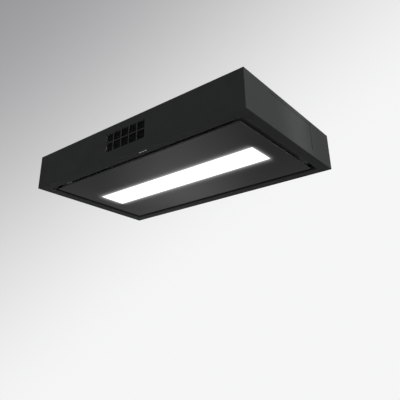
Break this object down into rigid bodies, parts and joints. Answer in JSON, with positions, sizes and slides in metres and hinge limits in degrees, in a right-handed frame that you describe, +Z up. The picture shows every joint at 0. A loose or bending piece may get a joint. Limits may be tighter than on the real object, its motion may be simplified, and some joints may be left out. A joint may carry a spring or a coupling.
{
  "type": "ceiling extractor hood",
  "caption": "Flat ceiling-mounted box hood with perimeter suction around a drop-down glass light panel, a built-in blower and a recirculation outlet grille in one long side.",
  "frame": {"origin": "centre of the face that lies against the ceiling", "axes": "+X along the long side, -Y out of the outlet grille, +Z up into the ceiling"},
  "size_m": [1.2, 0.7, 0.1684],
  "materials": {
    "casing_black": "fine matt black powder coat",
    "black_glass": "back-painted black glass, polished",
    "opal": "opal acrylic, evenly lit from behind",
    "zinc_sheet": "zinc-plated sheet, satin",
    "grey_sheet": "grey coated inner sheet",
    "white_sheet": "white reflector enamel",
    "mesh": "expanded aluminium mesh",
    "filter_frame": "satin anodised",
    "bright_steel": "bright zinc fasteners and pins",
    "black_plastic": "black moulded plastic",
    "key_grey": "light grey satin key",
    "rubber": "black rubber",
    "foam": "black closed-cell foam",
    "carbon": "carbon honeycomb",
    "board_green": "glass-fibre board",
    "board_white": "white LED board",
    "copper": "enamelled copper winding",
    "light_plastic": "light grey moulded plastic"
  },
  "bodies": {
    "casing": {"casing_front": "casing_black", "casing_rear": "casing_black", "casing_left": "casing_black", "casing_right": "casing_black", "top_plate": "zinc_sheet", "casing_screws": "bright_steel", "corner_brackets": "zinc_sheet", "mounting_rails": "zinc_sheet", "service_frame": "casing_black", "service_cover": "casing_black", "cover_clips": "bright_steel", "filter_deck": "grey_sheet", "deck_brackets": "zinc_sheet", "blower_scroll": "zinc_sheet", "blower_lid": "zinc_sheet", "inlet_ring": "zinc_sheet", "motor_base": "zinc_sheet", "motor_bushes": "rubber", "motor_bearings": "bright_steel", "motor_winding": "copper", "blower_screws": "bright_steel", "outlet_duct": "zinc_sheet", "duct_gasket": "foam", "cartridge_frame": "black_plastic", "carbon_core": "carbon", "bay_partition": "zinc_sheet", "board_posts": "light_plastic", "control_board": "board_green", "led_driver": "light_plastic", "run_capacitor": "black_plastic", "terminal_block": "light_plastic", "cable_grommet": "rubber", "key_carrier": "black_plastic", "key_board": "board_green", "key_switches": "black_plastic", "hinge_brackets": "grey_sheet", "hinge_pins": "bright_steel", "catch_magnets": "black_plastic"},
    "panel": {"glass_panel": "black_glass", "panel_tray": "grey_sheet", "tray_ribs": "zinc_sheet", "diffuser_seal": "foam", "light_diffuser": "opal", "light_reflector": "white_sheet", "led_boards": "board_white", "hinge_leaves": "grey_sheet", "catch_strikes": "bright_steel"},
    "impeller_wheel": {"impeller": "zinc_sheet", "motor_rotor": "zinc_sheet", "wheel_screws": "bright_steel"},
    "left_filter": {"filter_frame_left": "filter_frame", "filter_mesh_left": "mesh", "filter_pull_left": "black_plastic"},
    "right_filter": {"filter_frame_right": "filter_frame", "filter_mesh_right": "mesh", "filter_pull_right": "black_plastic"},
    "light_key": {"key_light": "key_grey"},
    "fan_key": {"key_fan": "key_grey"},
    "timer_key": {"key_timer": "key_grey"}
  },
  "joints": [
    {"name": "panel_hinge", "type": "hinge", "parent": "casing", "child": "panel", "pos_m": [0, 0.275, -0.152], "axis": [1, 0, 0], "range_deg": [0, 90]},
    {"name": "impeller_spin", "type": "hinge", "parent": "casing", "child": "impeller_wheel", "pos_m": [-0.0825, 0.06, -0.08], "axis": [0, 0, 1], "continuous": true},
    {"name": "left_filter_drop", "type": "slide", "parent": "casing", "child": "left_filter", "axis": [0, 0, -1], "range_m": [0, 0.016]},
    {"name": "right_filter_drop", "type": "slide", "parent": "casing", "child": "right_filter", "axis": [0, 0, -1], "range_m": [0, 0.016]},
    {"name": "light_key_press", "type": "slide", "parent": "casing", "child": "light_key", "axis": [0, 0, 1], "range_m": [0, 0.0008], "stiffness_N_per_m": 700},
    {"name": "fan_key_press", "type": "slide", "parent": "casing", "child": "fan_key", "axis": [0, 0, 1], "range_m": [0, 0.0008], "stiffness_N_per_m": 700},
    {"name": "timer_key_press", "type": "slide", "parent": "casing", "child": "timer_key", "axis": [0, 0, 1], "range_m": [0, 0.0008], "stiffness_N_per_m": 700}
  ]
}
